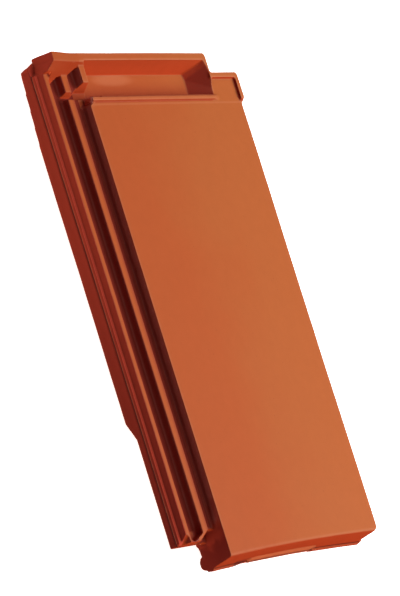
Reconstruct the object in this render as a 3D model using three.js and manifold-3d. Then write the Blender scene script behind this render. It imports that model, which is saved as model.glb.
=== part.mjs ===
// Flat interlocking clay roof tile, pressed and fired in one piece.
//
// Units are millimetres. X runs across the roof, Y runs up the slope from the foot
// edge to the head, and Z points out of the weather face. The sizes below are taken
// from the tile's own reference point: the left foot corner of the weather face,
// with the face in the plane Z = 0. The finished mesh is then placed with the
// centre of its lowest plane at the origin, lying as it is stored.

import * as THREE from 'three';
import { ConvexGeometry } from 'three/addons/geometries/ConvexGeometry.js';
import { mergeVertices } from 'three/addons/utils/BufferGeometryUtils.js';
import Module from 'manifold-3d';

// ---------------------------------------------------------------------------
// Driving dimensions
// ---------------------------------------------------------------------------

// Weather face and plate
const COVER_WIDTH = 230;          // width of the weather face
const FACE_LENGTH = 391;          // foot edge to the head lip
const PLATE_THICKNESS = 14;
const FOOT_EDGE_RADIUS = 2.75;
const SIDE_EDGE_RADIUS = 3;       // right edge of the weather face
const FOOT_BOW = 2;               // how far the middle of the foot edge draws back
const FOOT_CORNER_RADIUS = 8;     // right foot corner, seen from above

// Fit between neighbouring tiles
const TILE_GAP = 1;               // between two weather faces
const LOCK_PLAY = 0.7;            // height left free in the side lock
const LOCK_SIDE_PLAY = 0.9;       // width left free in the side lock

// Water lock along the left side: widths, and depths below the face
const INNER_CHANNEL_WIDTH = 10;
const INNER_CHANNEL_DEPTH = 10;
const INNER_RIB_WIDTH = 9.3;
const INNER_RIB_DEPTH = 6.5;
const OUTER_CHANNEL_WIDTH = 14.9;
const OUTER_CHANNEL_DEPTH = 15.2;
const OUTER_RIB_WIDTH = 6.2;
const OUTER_RIB_DEPTH = 8.5;
const LEDGE_DEPTH = 15;
const LEDGE_WIDTH = 2.3;
const CREASE_DEPTH = 18.6;
const FLANK_DEPTH = 30.2;
const FLANK_LEAN = 1;
const FLANK_THICKNESS = 7;
const OUTER_WALL_LEAN = 1.1;
const CHANNEL_FILLET = 3;
const RIB_ROUND = 1.4;
const LOCK_THICKNESS = 10;        // clay left under the outer channel

// Foot end of the water lock
const LOCK_FOOT = 18;             // the lock starts this far behind the foot edge
const SCARF_RISE = 6.9;           // height of the ramp at the outer rib's foot
const SCARF_RUN = 6.7;            // length of that ramp
const SCARF_START = 3;            // the ramp starts this far inside the outer rib
const DEFLECTOR_RUN = 8.5;        // length over which the inner rib turns outwards
const DEFLECTOR_REACH = 12;       // how far it turns towards the outer rib
const DEFLECTOR_FALL = 2.5;
const PLATFORM_LENGTH = 5;        // closes the outer channel beside the deflector
const CHANNEL_END_DEPTH = 20;     // the inner channel drops to this at its foot end
const RELIEF_LENGTH = 110;        // the flank is cut short over the tile below
const RELIEF_RAMP = 15;
const RELIEF_DEPTH = 24.9;        // depth of the flank along that length

// Foot skirt
const SKIRT_DEPTH = 19.7;         // face to the top of the drip ledge
const SKIRT_LEAN = 3.9;
const SKIRT_THICKNESS = 15;
const LEDGE_REACH = 6.3;          // front of the drip ledge, ahead of the foot edge
const LEDGE_SLOPE = 1.7;
const LEDGE_BOTTOM = 26.4;
const FOOT_RIB_DEPTH = 32;        // the foot rib lies on the course below
const FOOT_RIB_START = -3.6;
const FOOT_RIB_END = 7.5;
const FOOT_RIB_ROUND = 5;
const MIDDLE_SETBACK = 1.6;       // the ledge's middle stretch stands back
const LEFT_BLOCK_END = 29;
const MIDDLE_START = 50;
const MIDDLE_END = 145;
const RIGHT_BLOCK_START = 151;
const RIGHT_BLOCK_END = 223;
const RIGHT_BLOCK_CHAMFER = 6;

// Head of the plate
const LIP_WIDTH = 3.5;
const LIP_HEIGHT = 1.5;
const LIP_LAND = 1;
const LIP_START = 6.4;
const LIP_END = 186;
const LIP_FADE = 10;
const CORNER_CUT = 3.9;           // the plate's left head corner is cut back

// Head trough and rim
const TROUGH_WIDTH = 30.5;        // across, between the lip and the rim's top edge
const TROUGH_DEPTH = 15.6;
const TROUGH_FALL = 1;            // the floor falls this much towards the lip
const TROUGH_DRAFT = 6.6;         // lean of the rim's inner wall
const TROUGH_LEFT = 8;
const TROUGH_RIGHT = 185.5;
const TROUGH_RIGHT_FLARE = 4;     // the right end is this much longer at the lip
const TROUGH_END_DRAFT = 11.5;
const TROUGH_CORNER = 5;
const TROUGH_BOTTOM = 28;
const RIM_HEIGHT = 3;
const RIM_THICKNESS = 6.3;
const RIM_BACK_DRAFT = 1.3;
const RIM_RIGHT = 188.8;
const RIM_CORNER_RADIUS = 3.5;    // the rim's right back corner, seen from above
const BACK_RIGHT = 185;           // right end of the trough's body, below the plate
const RIM_ARM_RAMP = 11;

// Outlet that carries water from the trough to the outer channel
const OUTLET_WIDTH = 12;          // at face level
const OUTLET_DEPTH = 14;
const OUTLET_DRAFT = 4.2;
const OUTLET_STEP = 4.2;          // the head side steps back across the inner channel
const OUTLET_FRONT_DRAFT = 1.9;

// Left head corner
const HEAD_SLOPE_RUN = 0.945;     // run of the head slope for each millimetre down
const SLOPE_SETBACK = 0.8;        // the slope's top edge, ahead of the rim's edge
const SHOULDER = 36.4;            // left end of the rim, measured from the face
const SHOULDER_CUT = 7;
const POCKET_REACH = 6;           // the inner channel's head end runs up the slope
const OUTER_POCKET_REACH = 4;     // the outer rib's head end does the same
const FLANK_HEAD_RISE = 3.6;      // the flank's lower edge rises towards the head
const FLANK_HEAD_RAMP = 70;
const FLANGE_CUT = 7;             // the flange below the crease is cut back by this
const FLANGE_RUN = 16.8;          // and over this width

// Upstand round the right head corner
const STEP_LENGTH = 19.2;         // from the trough's foot side to the upstand's back
const UPSTAND_HEIGHT = 3;
const UPSTAND_BAND = 4.7;
const UPSTAND_LEG = 5.1;
const UPSTAND_RAMP = 3;
const UPSTAND_ROUND = 3.5;

// Underside
const REST_DEPTH = 42;            // nibs and hooking rib all reach this plane
const NIB_WIDTH = 32;
const NIB_LENGTH = 8;
const NIB_CENTRES = [55, 150];
const NIB_FACE = 388;             // hanging face of the nibs
const NIB_BACK_LEAN = 9;
const HOOK_RIB_START = 20;
const HOOK_RIB_END = 180;
const HOOK_RIB_POSITION = 45;
const HOOK_RIB_WIDTH = 8;
const HOOK_RIB_DRAFT = 3;
const STIFFENER_CENTRES = [48, 92, 136];
const STIFFENER_WIDTH = 9;
const STIFFENER_HEIGHT = 6;
const STIFFENER_DRAFT = 2;
const LEFT_WALL_THICKNESS = 10;
const LEFT_WALL_RELIEF_DEPTH = 28;
const LEFT_WALL_RELIEF_LENGTH = 8.5;

// Finish
const CLAY_COLOUR = 0xbe6339;
const ARC_STEPS = 3;

// ---------------------------------------------------------------------------
// Places that follow from the driving dimensions
// ---------------------------------------------------------------------------

const innerRibRight = -INNER_CHANNEL_WIDTH;
const innerRibLeft = innerRibRight - INNER_RIB_WIDTH;
const outerRibRight = innerRibLeft - OUTER_CHANNEL_WIDTH;
const outerRibLeft = outerRibRight - OUTER_RIB_WIDTH;
const ledgeInner = outerRibLeft - OUTER_WALL_LEAN;
const ledgeOuter = ledgeInner - LEDGE_WIDTH;
const flankBottom = ledgeOuter - FLANK_LEAN;
const lockBottom = OUTER_CHANNEL_DEPTH + LOCK_THICKNESS;

const lipBack = FACE_LENGTH + LIP_WIDTH;
const troughFoot = lipBack + LIP_LAND;
const rimInner = troughFoot + TROUGH_WIDTH;
const rimBack = rimInner + RIM_THICKNESS;
const slopeTop = rimInner - SLOPE_SETBACK;
const upstandBack = troughFoot + STEP_LENGTH;
const scarfTop = LOCK_FOOT + SCARF_RUN;

// Overlap given to solids that are joined, and overshoot given to cutters
const JOIN = 2;
const CLEAR = 5;

// ---------------------------------------------------------------------------
// Solids
// ---------------------------------------------------------------------------

const wasm = await Module();
wasm.setup();

/** Turns a closed three.js geometry into a solid that can be cut and joined. */
function solid(geometry) {
  geometry.deleteAttribute('normal');
  geometry.deleteAttribute('uv');
  const merged = mergeVertices(geometry, 1e-4);
  return new wasm.Manifold(new wasm.Mesh({
    numProp: 3,
    vertProperties: new Float32Array(merged.attributes.position.array),
    triVerts: new Uint32Array(merged.index.array),
  }));
}

/** Closed outline through corners [a, b, radius]; a radius rounds its corner. */
function outline(corners) {
  const shape = new THREE.Shape();
  corners.forEach(([a, b, radius = 0], i) => {
    const before = corners[(i + corners.length - 1) % corners.length];
    const after = corners[(i + 1) % corners.length];
    const back = new THREE.Vector2(before[0] - a, before[1] - b).normalize();
    const ahead = new THREE.Vector2(after[0] - a, after[1] - b).normalize();
    const half = Math.acos(back.dot(ahead)) / 2;
    const reach = radius / Math.tan(half);
    const startX = a + back.x * reach;
    const startY = b + back.y * reach;
    if (i === 0) shape.moveTo(startX, startY);
    else shape.lineTo(startX, startY);
    if (radius === 0) return;
    const inward = back.clone().add(ahead).setLength(radius / Math.sin(half));
    const from = back.clone().multiplyScalar(reach).sub(inward).angle();
    const to = ahead.clone().multiplyScalar(reach).sub(inward).angle();
    const clockwise = back.cross(ahead) > 0;
    shape.absarc(a + inward.x, b + inward.y, radius, from, to, clockwise);
  });
  return shape;
}

/** Prism of an outline, standing on the XY plane. */
function prism(corners, length, steps = 1) {
  return new THREE.ExtrudeGeometry(outline(corners), {
    depth: length, steps, bevelEnabled: false, curveSegments: ARC_STEPS,
  });
}

const AXIS_X = new THREE.Vector3(1, 0, 0);
const AXIS_Y = new THREE.Vector3(0, 1, 0);
const AXIS_Z = new THREE.Vector3(0, 0, 1);

/** Prism along X of an outline in Y and Z. */
function alongX(corners, start, end, steps = 1) {
  const turn = new THREE.Matrix4().makeBasis(AXIS_Y, AXIS_Z, AXIS_X);
  return prism(corners, end - start, steps).applyMatrix4(turn).translate(start, 0, 0);
}

/** Prism along Y of an outline in X and Z. */
function alongY(corners, start, end) {
  const turn = new THREE.Matrix4().makeBasis(AXIS_X, AXIS_Z, AXIS_Y.clone().negate());
  return prism(corners, end - start).applyMatrix4(turn).translate(0, end, 0);
}

/** Prism along Z of an outline in X and Y. */
function alongZ(corners, start, end) {
  return prism(corners, end - start).translate(0, 0, start);
}

/** Convex block through its corner points. */
function block(points) {
  return new ConvexGeometry(points.map(([x, y, z]) => new THREE.Vector3(x, y, z)));
}

/** Rectangular block between two opposite corners. */
function box([x0, y0, z0], [x1, y1, z1]) {
  return alongZ([[x0, y0], [x1, y0], [x1, y1], [x0, y1]], z0, z1);
}

/** Joins geometries into one solid. */
function join(geometries) {
  return geometries.map(solid).reduce((whole, next) => whole.add(next));
}

/** How far the foot edge draws back at a place across the tile. */
function bow(x) {
  const across = (2 * x) / COVER_WIDTH - 1;
  return FOOT_BOW * (1 - across * across);
}

/** Bends a foot geometry so that it follows the bow of the foot edge. */
function bowed(geometry, blendStart, blendEnd) {
  const position = geometry.attributes.position;
  for (let i = 0; i < position.count; i += 1) {
    const y = position.getY(i);
    const share = THREE.MathUtils.clamp((blendEnd - y) / (blendEnd - blendStart), 0, 1);
    position.setY(i, y + share * bow(position.getX(i)));
  }
  return geometry;
}

// ---------------------------------------------------------------------------
// Plate with its cover lock
// ---------------------------------------------------------------------------

/** Where a place on the neighbour's water lock lies under this tile's right side. */
function mated(x) {
  return COVER_WIDTH + TILE_GAP + x;
}

function plate() {
  return alongX([
    [SKIRT_THICKNESS - JOIN, 0],
    [troughFoot, 0],
    [troughFoot, -PLATE_THICKNESS],
    [SKIRT_THICKNESS - JOIN, -PLATE_THICKNESS],
  ], 0, COVER_WIDTH);
}

/** Takes the sharp right edge off the weather face, foot to upstand. */
function sideEdgeCut() {
  return alongY([
    [COVER_WIDTH - SIDE_EDGE_RADIUS - 1, CLEAR],
    [COVER_WIDTH - SIDE_EDGE_RADIUS - 1, 0],
    [COVER_WIDTH, 0, SIDE_EDGE_RADIUS],
    [COVER_WIDTH, -SIDE_EDGE_RADIUS - 1],
    [COVER_WIDTH + CLEAR, -SIDE_EDGE_RADIUS - 1],
    [COVER_WIDTH + CLEAR, CLEAR],
  ], -LEDGE_REACH - CLEAR, FACE_LENGTH - UPSTAND_RAMP);
}

/** Rounds the right foot corner, following the lean of the skirt. */
function footCornerCut() {
  const geometry = alongZ([
    [COVER_WIDTH - FOOT_CORNER_RADIUS - 1, -CLEAR],
    [COVER_WIDTH - FOOT_CORNER_RADIUS - 1, 0],
    [COVER_WIDTH, 0, FOOT_CORNER_RADIUS],
    [COVER_WIDTH, FOOT_CORNER_RADIUS + 1],
    [COVER_WIDTH + CLEAR, FOOT_CORNER_RADIUS + 1],
    [COVER_WIDTH + CLEAR, -CLEAR],
  ], -SKIRT_DEPTH, JOIN);
  const position = geometry.attributes.position;
  for (let i = 0; i < position.count; i += 1) {
    const lean = SKIRT_LEAN * (position.getZ(i) / SKIRT_DEPTH);
    position.setY(i, position.getY(i) + lean);
  }
  return geometry;
}

/** The corner of the plate to the right of the trough. */
function headStep() {
  return box(
    [TROUGH_RIGHT, troughFoot - JOIN, -PLATE_THICKNESS],
    [COVER_WIDTH, upstandBack, 0],
  );
}

/** Grooves under the right side that ride over the neighbour's two ribs. */
function coverLockGrooves() {
  const outerGrooveLeft = mated(outerRibLeft) - LOCK_SIDE_PLAY;
  const coverRibLeft = mated(outerRibRight) + LOCK_SIDE_PLAY;
  const coverRibRight = mated(innerRibLeft) - LOCK_SIDE_PLAY;
  const edgeRibLeft = mated(innerRibRight) + LOCK_SIDE_PLAY;
  const low = -PLATE_THICKNESS - CLEAR;
  const outerCeiling = -OUTER_RIB_DEPTH + LOCK_PLAY;
  const innerCeiling = -INNER_RIB_DEPTH + LOCK_PLAY;
  const edgeRibBottom = -INNER_CHANNEL_DEPTH + LOCK_PLAY;
  const end = upstandBack + CLEAR;
  return [
    alongY([
      [outerGrooveLeft, low],
      [coverRibLeft, low],
      [coverRibLeft, outerCeiling, 1],
      [outerGrooveLeft, outerCeiling, 1],
    ], SKIRT_THICKNESS, end),
    alongY([
      [coverRibRight, low],
      [COVER_WIDTH + CLEAR, low],
      [COVER_WIDTH + CLEAR, edgeRibBottom],
      [edgeRibLeft, edgeRibBottom],
      [edgeRibLeft, innerCeiling, 1],
      [coverRibRight, innerCeiling, 1],
    ], SKIRT_THICKNESS, end),
    // The cover rib stops short of the neighbour's deflector and of its outlet
    box([coverRibLeft - JOIN, SKIRT_THICKNESS, low],
      [COVER_WIDTH + CLEAR, scarfTop + CLEAR, outerCeiling]),
    box([outerGrooveLeft, FACE_LENGTH, low], [COVER_WIDTH + CLEAR, end, innerCeiling]),
  ];
}

/** The cover rib that hangs below the plate into the neighbour's outer channel. */
function coverRib() {
  const left = mated(outerRibRight) + LOCK_SIDE_PLAY;
  const right = mated(innerRibLeft) - LOCK_SIDE_PLAY;
  const bottom = -OUTER_CHANNEL_DEPTH + LOCK_PLAY;
  return alongY([
    [left, -PLATE_THICKNESS + JOIN],
    [right, -PLATE_THICKNESS + JOIN],
    [right, bottom],
    [left, bottom],
  ], scarfTop + CLEAR, FACE_LENGTH);
}

// ---------------------------------------------------------------------------
// Foot skirt with its drip ledge and foot rib
// ---------------------------------------------------------------------------

function footSkirt() {
  const ledgeTop = -SKIRT_DEPTH - LEDGE_SLOPE;
  const profile = [
    [SKIRT_THICKNESS, 0],
    [0, 0, FOOT_EDGE_RADIUS],
    [-SKIRT_LEAN, -SKIRT_DEPTH],
    [-LEDGE_REACH, ledgeTop, 0.8],
    [-LEDGE_REACH + 1, -LEDGE_BOTTOM],
    [FOOT_RIB_START, -LEDGE_BOTTOM - 1],
    [FOOT_RIB_START, -FOOT_RIB_DEPTH, FOOT_RIB_ROUND - 0.4],
    [FOOT_RIB_END, -FOOT_RIB_DEPTH, FOOT_RIB_ROUND],
    [FOOT_RIB_END, -LEDGE_BOTTOM],
    [SKIRT_THICKNESS, -PLATE_THICKNESS],
  ];
  return bowed(alongX(profile, 0, COVER_WIDTH, 12), 0, SKIRT_THICKNESS);
}

/** Cuts that shape the drip ledge into a left, a middle and a right stretch. */
function ledgeCuts() {
  const top = -SKIRT_DEPTH + 0.2;
  const low = -LEDGE_BOTTOM - 0.3;
  const front = -LEDGE_REACH - CLEAR;
  const middleFront = -LEDGE_REACH + MIDDLE_SETBACK;
  const notchFront = -SKIRT_LEAN - 0.4;
  const right = RIGHT_BLOCK_END + RIGHT_BLOCK_CHAMFER;
  return [
    alongZ([
      [LEFT_BLOCK_END, front],
      [LEFT_BLOCK_END, -LEDGE_REACH + bow(LEFT_BLOCK_END)],
      [MIDDLE_START, notchFront + bow(MIDDLE_START)],
      [MIDDLE_START, middleFront + bow(MIDDLE_START)],
      [COVER_WIDTH / 2, middleFront + FOOT_BOW],
      [MIDDLE_END, middleFront + bow(MIDDLE_END)],
      [MIDDLE_END, notchFront + bow(MIDDLE_END)],
      [RIGHT_BLOCK_START, notchFront + bow(RIGHT_BLOCK_START)],
      [RIGHT_BLOCK_START, front],
    ], low, top),
    alongZ([
      [RIGHT_BLOCK_END, front],
      [RIGHT_BLOCK_END, -LEDGE_REACH],
      [right, -SKIRT_LEAN],
      [COVER_WIDTH + CLEAR, -SKIRT_LEAN],
      [COVER_WIDTH + CLEAR, front],
    ], low, top),
  ];
}

// ---------------------------------------------------------------------------
// Water lock along the left side
// ---------------------------------------------------------------------------

function waterLock() {
  return alongY([
    [JOIN, -INNER_CHANNEL_DEPTH + CHANNEL_FILLET],
    [0, -INNER_CHANNEL_DEPTH + CHANNEL_FILLET],
    [0, -INNER_CHANNEL_DEPTH, CHANNEL_FILLET],
    [innerRibRight, -INNER_CHANNEL_DEPTH],
    [innerRibRight, -INNER_RIB_DEPTH, RIB_ROUND],
    [innerRibLeft, -INNER_RIB_DEPTH],
    [innerRibLeft, -OUTER_CHANNEL_DEPTH, CHANNEL_FILLET],
    [outerRibRight, -OUTER_CHANNEL_DEPTH, CHANNEL_FILLET],
    [outerRibRight, -OUTER_RIB_DEPTH, RIB_ROUND],
    [outerRibLeft, -OUTER_RIB_DEPTH],
    [ledgeInner, -LEDGE_DEPTH],
    [ledgeOuter, -LEDGE_DEPTH],
    [ledgeOuter, -CREASE_DEPTH],
    [flankBottom, -FLANK_DEPTH],
    [flankBottom + FLANK_THICKNESS, -FLANK_DEPTH],
    [flankBottom + FLANK_THICKNESS + 1, -lockBottom],
    [JOIN, -lockBottom],
  ], LOCK_FOOT, rimBack);
}

/** Wall under the plate's left edge, which carries the water lock. */
function leftWall() {
  return alongY([
    [0, -INNER_CHANNEL_DEPTH + CHANNEL_FILLET],
    [LEFT_WALL_THICKNESS, -PLATE_THICKNESS + JOIN],
    [LEFT_WALL_THICKNESS, -PLATE_THICKNESS],
    [LEFT_WALL_THICKNESS - 1, -FLANK_DEPTH],
    [0, -FLANK_DEPTH],
  ], FOOT_RIB_END - JOIN, troughFoot);
}

/** Hollow under the left wall behind the foot rib, clear of the course below. */
function leftWallRelief() {
  return alongX([
    [FOOT_RIB_END, -LEFT_WALL_RELIEF_DEPTH],
    [FOOT_RIB_END + LEFT_WALL_RELIEF_LENGTH, -LEFT_WALL_RELIEF_DEPTH - 0.9],
    [FOOT_RIB_END + LEFT_WALL_RELIEF_LENGTH + 3, -FLANK_DEPTH - CLEAR],
    [FOOT_RIB_END, -FLANK_DEPTH - CLEAR],
  ], -CLEAR, LEFT_WALL_THICKNESS + CLEAR);
}

/** The inner rib turns outwards at the foot and closes the outer channel. */
function deflector() {
  const turn = LOCK_FOOT + DEFLECTOR_RUN;
  const top = -INNER_RIB_DEPTH;
  const end = top - DEFLECTOR_FALL;
  const low = -lockBottom + JOIN;
  const tip = innerRibLeft - DEFLECTOR_REACH;
  const bar = [
    [innerRibLeft, turn - 2.4, top],
    [innerRibRight, turn, top],
    [tip + INNER_RIB_WIDTH, LOCK_FOOT, end],
    [tip, LOCK_FOOT, end],
  ];
  return block(bar.concat(bar.map(([x, y]) => [x, y, low])));
}

/** Platform between the outer rib and the deflector's tip. */
function footPlatform() {
  const tip = innerRibLeft - DEFLECTOR_REACH;
  return alongZ([
    [outerRibRight - JOIN, LOCK_FOOT],
    [tip + JOIN, LOCK_FOOT],
    [tip, LOCK_FOOT + 1],
    [outerRibRight - JOIN, LOCK_FOOT + PLATFORM_LENGTH],
  ], -lockBottom + JOIN, -INNER_RIB_DEPTH - DEFLECTOR_FALL);
}

/** Clears the straight end of the inner rib ahead of the deflector. */
function deflectorClearance() {
  const turn = LOCK_FOOT + DEFLECTOR_RUN;
  return alongZ([
    [innerRibLeft - JOIN, LOCK_FOOT - CLEAR],
    [0, LOCK_FOOT - CLEAR],
    [0, turn],
    [innerRibRight, turn],
    [innerRibLeft, turn - 2.4],
    [innerRibLeft - JOIN, turn - 2.4],
  ], -INNER_CHANNEL_DEPTH, 0);
}

/** The inner channel's floor drops where the deflector starts. */
function innerChannelEnd() {
  const turn = LOCK_FOOT + DEFLECTOR_RUN;
  const slant = DEFLECTOR_REACH / DEFLECTOR_RUN;
  return alongZ([
    [innerRibRight - slant * (DEFLECTOR_RUN + CLEAR), LOCK_FOOT - CLEAR],
    [0, LOCK_FOOT - CLEAR],
    [0, turn],
    [innerRibRight, turn],
  ], -CHANNEL_END_DEPTH, 0);
}

/** Ramp cut across the outer rib's foot, falling to the foot and to the left. */
function scarfCut() {
  const top = -OUTER_RIB_DEPTH;
  const inside = outerRibLeft + SCARF_START;
  const outside = flankBottom - 1.2;
  const foot = LOCK_FOOT - 1;
  const fall = SCARF_RISE * ((scarfTop - foot) / SCARF_RUN);
  const ramp = [
    [inside, scarfTop, top],
    [inside, foot, top - fall],
    [outside, foot, top - fall - 3.2],
    [outside, scarfTop + 3, top],
  ];
  const lid = [
    [inside + 0.4, scarfTop, top + CLEAR],
    [inside + 1.6, foot, top + CLEAR],
    [outside, foot, top + CLEAR],
    [outside, scarfTop + 3, top + CLEAR],
  ];
  return block(ramp.concat(lid));
}

/** The flank and the lock's underside are cut short where the course below lies. */
function flankRelief() {
  return alongX([
    [LOCK_FOOT - CLEAR, -RELIEF_DEPTH],
    [RELIEF_LENGTH, -RELIEF_DEPTH],
    [RELIEF_LENGTH + RELIEF_RAMP, -FLANK_DEPTH],
    [RELIEF_LENGTH + RELIEF_RAMP, -FLANK_DEPTH - CLEAR],
    [LOCK_FOOT - CLEAR, -FLANK_DEPTH - CLEAR],
  ], flankBottom - CLEAR, 0);
}

// ---------------------------------------------------------------------------
// Head: rim, trough, outlet and slopes
// ---------------------------------------------------------------------------

/** Body of the rim and trough, before the trough is cut out of it. */
function headBody() {
  const back = rimBack + RIM_BACK_DRAFT;
  const shallow = troughFoot + JOIN;
  return [
    alongX([
      [troughFoot - JOIN, -PLATE_THICKNESS],
      [troughFoot - JOIN, 0],
      [shallow, 0],
      [shallow + RIM_ARM_RAMP, RIM_HEIGHT],
      [rimBack, RIM_HEIGHT],
      [rimBack + RIM_BACK_DRAFT * 0.5, -PLATE_THICKNESS],
    ], 0, RIM_RIGHT),
    alongX([
      [troughFoot - 14, -PLATE_THICKNESS + JOIN],
      [rimBack + RIM_BACK_DRAFT * 0.4, -PLATE_THICKNESS + JOIN],
      [rimBack + RIM_BACK_DRAFT * 0.5, -PLATE_THICKNESS],
      [back, -TROUGH_BOTTOM + 3],
      [back - 3, -TROUGH_BOTTOM],
      [troughFoot - 2, -TROUGH_BOTTOM],
    ], 0, BACK_RIGHT),
  ];
}

/** Rounds the rim's right back corner. */
function rimCornerCut() {
  return alongZ([
    [RIM_RIGHT - RIM_CORNER_RADIUS - 0.1, rimBack + CLEAR],
    [RIM_RIGHT - RIM_CORNER_RADIUS - 0.1, rimBack],
    [RIM_RIGHT, rimBack, RIM_CORNER_RADIUS],
    [RIM_RIGHT, rimBack - RIM_CORNER_RADIUS - 1],
    [RIM_RIGHT + CLEAR, rimBack - RIM_CORNER_RADIUS - 1],
    [RIM_RIGHT + CLEAR, rimBack + CLEAR],
  ], -PLATE_THICKNESS, RIM_HEIGHT + CLEAR);
}

/** Slope that closes the water lock's channels at the head. */
function headSlope() {
  const run = (RIM_HEIGHT + OUTER_CHANNEL_DEPTH) * HEAD_SLOPE_RUN;
  return alongX([
    [slopeTop, RIM_HEIGHT],
    [rimBack, RIM_HEIGHT],
    [rimBack + RIM_BACK_DRAFT, -lockBottom],
    [slopeTop - run, -lockBottom],
    [slopeTop - run, -OUTER_CHANNEL_DEPTH],
  ], outerRibLeft, TROUGH_LEFT);
}

/** Where the head slope meets a given depth below the face. */
function slopeAt(depth) {
  return slopeTop - (RIM_HEIGHT + depth) * HEAD_SLOPE_RUN;
}

/** Pockets at the head ends of the two channels, cut upright into the slope. */
function channelPockets() {
  const innerRibEnd = slopeAt(INNER_RIB_DEPTH);
  const outerRibEnd = slopeAt(OUTER_RIB_DEPTH);
  const start = slopeAt(OUTER_CHANNEL_DEPTH) - JOIN;
  const top = RIM_HEIGHT + CLEAR;
  return [
    alongZ([
      [0, slopeAt(INNER_CHANNEL_DEPTH) - JOIN],
      [0, innerRibEnd + POCKET_REACH],
      [innerRibRight, innerRibEnd],
      [innerRibRight, slopeAt(INNER_CHANNEL_DEPTH) - JOIN],
    ], -INNER_CHANNEL_DEPTH, top),
    alongZ([
      [innerRibLeft, start],
      [innerRibLeft, innerRibEnd],
      [innerRibLeft - 4.8, innerRibEnd - 1.3],
      [innerRibLeft - 7.6, innerRibEnd - 3.2],
      [outerRibRight, start],
    ], -OUTER_CHANNEL_DEPTH, top),
    box([outerRibLeft - CLEAR, outerRibEnd - JOIN, -OUTER_RIB_DEPTH],
      [outerRibRight, outerRibEnd + OUTER_POCKET_REACH, top]),
  ];
}

/** The lock's underside rises towards the head. */
function headRelief() {
  return alongX([
    [rimBack - FLANK_HEAD_RAMP, -FLANK_DEPTH],
    [rimBack + CLEAR, -FLANK_DEPTH + FLANK_HEAD_RISE],
    [rimBack + CLEAR, -FLANK_DEPTH - CLEAR],
    [rimBack - FLANK_HEAD_RAMP, -FLANK_DEPTH - CLEAR],
  ], flankBottom - CLEAR, 0);
}

/** Cuts the left head corner back, above and below the ledge. */
function leftCornerCuts() {
  const far = flankBottom - CLEAR;
  const back = rimBack + CLEAR;
  return [
    alongZ([
      [far, rimInner - SHOULDER_CUT],
      [outerRibLeft, rimInner - SHOULDER_CUT],
      [-SHOULDER, rimInner],
      [-SHOULDER, back],
      [far, back],
    ], -CREASE_DEPTH, RIM_HEIGHT + CLEAR),
    alongZ([
      [far, rimBack - FLANGE_CUT],
      [flankBottom, rimBack - FLANGE_CUT],
      [flankBottom + FLANGE_RUN, rimBack + RIM_BACK_DRAFT],
      [flankBottom + FLANGE_RUN, back],
      [far, back],
    ], -FLANK_DEPTH - CLEAR, -CREASE_DEPTH),
  ];
}

/** Hollow of the trough: steep walls all round and a floor that falls to the lip. */
function troughHollow() {
  const floorBack = -TROUGH_DEPTH;
  const floorFront = -TROUGH_DEPTH - TROUGH_FALL;
  const floorLeft = TROUGH_LEFT + TROUGH_END_DRAFT;
  const floorRight = TROUGH_RIGHT - TROUGH_END_DRAFT;
  const lean = TROUGH_DRAFT / (RIM_HEIGHT + TROUGH_DEPTH);
  const lid = RIM_HEIGHT + CLEAR;
  const endLean = TROUGH_END_DRAFT / TROUGH_DEPTH;
  const above = CLEAR + RIM_HEIGHT;
  return block([
    [floorLeft, troughFoot + 0.6, floorFront],
    [floorRight, troughFoot + 0.6, floorFront],
    [floorRight, rimInner - TROUGH_DRAFT - TROUGH_CORNER, floorBack],
    [floorRight - TROUGH_CORNER / 2, rimInner - TROUGH_DRAFT, floorBack],
    [floorLeft, rimInner - TROUGH_DRAFT, floorBack],
    [TROUGH_LEFT - endLean * above, troughFoot, lid],
    [TROUGH_RIGHT + TROUGH_RIGHT_FLARE + endLean * above, troughFoot, lid],
    [TROUGH_RIGHT + endLean * CLEAR, rimInner - TROUGH_CORNER + lean * CLEAR, lid],
    [TROUGH_RIGHT - TROUGH_CORNER / 2 + endLean * CLEAR, rimInner + lean * CLEAR, lid],
    [TROUGH_LEFT - endLean * above, rimInner + lean * CLEAR, lid],
  ]);
}

/** Brings the trough's left wall down to face level. */
function leftWallTop() {
  return alongX([
    [troughFoot, 0],
    [slopeTop - RIM_HEIGHT * HEAD_SLOPE_RUN, 0],
    [slopeTop, RIM_HEIGHT],
    [slopeTop, RIM_HEIGHT + CLEAR],
    [troughFoot, RIM_HEIGHT + CLEAR],
  ], innerRibRight, TROUGH_LEFT + JOIN);
}

/** Outlet: one cut through the trough's left wall, one across the inner rib. */
function outletCuts() {
  const floor = -OUTLET_DEPTH;
  const wallBack = troughFoot + OUTLET_WIDTH;
  const ribBack = wallBack - OUTLET_STEP;
  const leanBack = OUTLET_DRAFT / OUTLET_DEPTH;
  const leanFront = OUTLET_FRONT_DRAFT / OUTLET_DEPTH;
  const top = RIM_HEIGHT + CLEAR;
  const right = TROUGH_LEFT + TROUGH_END_DRAFT;
  const left = innerRibLeft - CHANNEL_FILLET;
  const front = lipBack;
  const through = [
    [innerRibRight + 3, 0, -OUTLET_STEP],
    [0, 0, 0],
    [right, 0, 0],
  ];
  const across = [
    [left, 0, 0],
    [innerRibRight + 4, 0, 0],
  ];
  const wedge = (places, back) => block(places.flatMap(([x, , shift]) => [
    [x, front + leanFront * OUTLET_DEPTH, floor],
    [x, front - leanFront * top, top],
    [x, back + shift - leanBack * OUTLET_DEPTH, floor],
    [x, back + shift + leanBack * top, top],
  ]));
  return [wedge(through, wallBack), wedge(across, ribBack)];
}

/** The plate's left head corner, cut back so that the inner channel widens. */
function plateCornerCut() {
  return alongZ([
    [-CLEAR, FACE_LENGTH - CORNER_CUT],
    [0, FACE_LENGTH - CORNER_CUT],
    [LIP_START, FACE_LENGTH],
    [LIP_START + 1.2, lipBack + JOIN],
    [-CLEAR, lipBack + JOIN],
  ], -INNER_CHANNEL_DEPTH, RIM_HEIGHT + CLEAR);
}

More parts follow.
